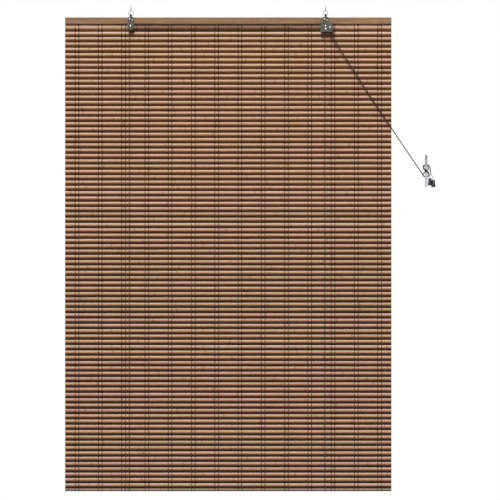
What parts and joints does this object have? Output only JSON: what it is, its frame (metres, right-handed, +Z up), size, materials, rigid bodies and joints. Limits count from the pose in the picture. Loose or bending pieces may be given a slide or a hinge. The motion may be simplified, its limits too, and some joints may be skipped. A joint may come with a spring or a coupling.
{
  "type": "bamboo roll up blind",
  "caption": "Roll up blind: rounded bamboo slats bound by twine under a wooden head rail, hung on ceiling hooks, with lift cords over a cord lock pulley to a wall cleat.",
  "frame": {"origin": "on the ceiling face, midway between the two ceiling hooks", "axes": "+Z up along the hooks' screw shanks, +X to the right seen from the front, the front faces -Y"},
  "size_m": [1.2484, 0.0269, 1.6446],
  "materials": {
    "rail_wood": "stained, satin",
    "bamboo": "stained bamboo, satin",
    "twine": "twisted brown twine",
    "staple_steel": "galvanised",
    "hook_steel": "plated wire",
    "black_plastic": "moulded",
    "zinc_plate": "zinc plated",
    "bright_steel": "bright rivet",
    "cord": "braided cord",
    "knob": "glossy dark brown",
    "cleat_metal": "plated"
  },
  "bodies": {
    "blind": {"head_rail": "rail_wood", "slat_mat": "bamboo", "warp_twine_1": "twine", "warp_twine_2": "twine", "warp_twine_3": "twine", "warp_twine_4": "twine", "warp_twine_5": "twine", "warp_twine_6": "twine", "warp_twine_7": "twine", "warp_twine_8": "twine", "warp_twine_9": "twine", "warp_twine_10": "twine", "warp_twine_11": "twine", "warp_twine_12": "twine", "warp_twine_13": "twine", "warp_twine_14": "twine", "twine_staples": "staple_steel", "cord_staples": "staple_steel", "left_ceiling_hook": "hook_steel", "right_ceiling_hook": "hook_steel", "left_hanger_bush": "black_plastic", "right_hanger_bush": "black_plastic", "left_bracket": "zinc_plate", "right_bracket": "zinc_plate", "left_cheek": "zinc_plate", "right_cheek": "zinc_plate", "left_bracket_screws": "bright_steel", "right_bracket_screws": "bright_steel", "left_axle": "bright_steel", "right_upper_axle": "bright_steel", "right_lower_axle": "bright_steel", "left_cord": "cord", "right_cord": "cord", "cord_winding": "cord", "left_cord_tail": "cord", "right_cord_tail": "cord", "left_cord_knob": "knob", "right_cord_knob": "knob", "wall_cleat": "cleat_metal"},
    "left_hanger": {"left_hanger": "hook_steel"},
    "right_hanger": {"right_hanger": "hook_steel"},
    "left_sheave": {"left_sheave": "bright_steel"},
    "right_upper_sheave": {"right_upper_sheave": "bright_steel"},
    "right_lower_sheave": {"right_lower_sheave": "bright_steel"},
    "lock_roller": {"lock_roller": "bright_steel"}
  },
  "joints": [
    {"name": "left_sheave_spin", "type": "hinge", "parent": "blind", "child": "left_sheave", "pos_m": [-0.3295, -0.00375, -0.0619], "axis": [0, 1, 0], "continuous": true},
    {"name": "right_upper_sheave_spin", "type": "hinge", "parent": "blind", "child": "right_upper_sheave", "pos_m": [0.3274, -0.00375, -0.0619], "axis": [0, 1, 0], "continuous": true},
    {"name": "right_lower_sheave_spin", "type": "hinge", "parent": "blind", "child": "right_lower_sheave", "pos_m": [0.3284, -0.00375, -0.072], "axis": [0, 1, 0], "continuous": true},
    {"name": "lock_roller_slide", "type": "slide", "parent": "blind", "child": "lock_roller", "axis": [-0.8, 0, 0.6], "range_m": [0, 0.006]},
    {"name": "left_hanger_swing", "type": "hinge", "parent": "blind", "child": "left_hanger", "pos_m": [-0.328, 0, -0.0256], "axis": [1, 0, 0], "range_deg": [-4, 4]},
    {"name": "right_hanger_swing", "type": "hinge", "parent": "blind", "child": "right_hanger", "pos_m": [0.328, 0, -0.0256], "axis": [1, 0, 0], "range_deg": [-4, 4]}
  ],
  "couplings": [
    {"joint": "right_upper_sheave_spin", "follows": "left_sheave_spin", "ratio": 1},
    {"joint": "right_lower_sheave_spin", "follows": "left_sheave_spin", "ratio": 1}
  ]
}
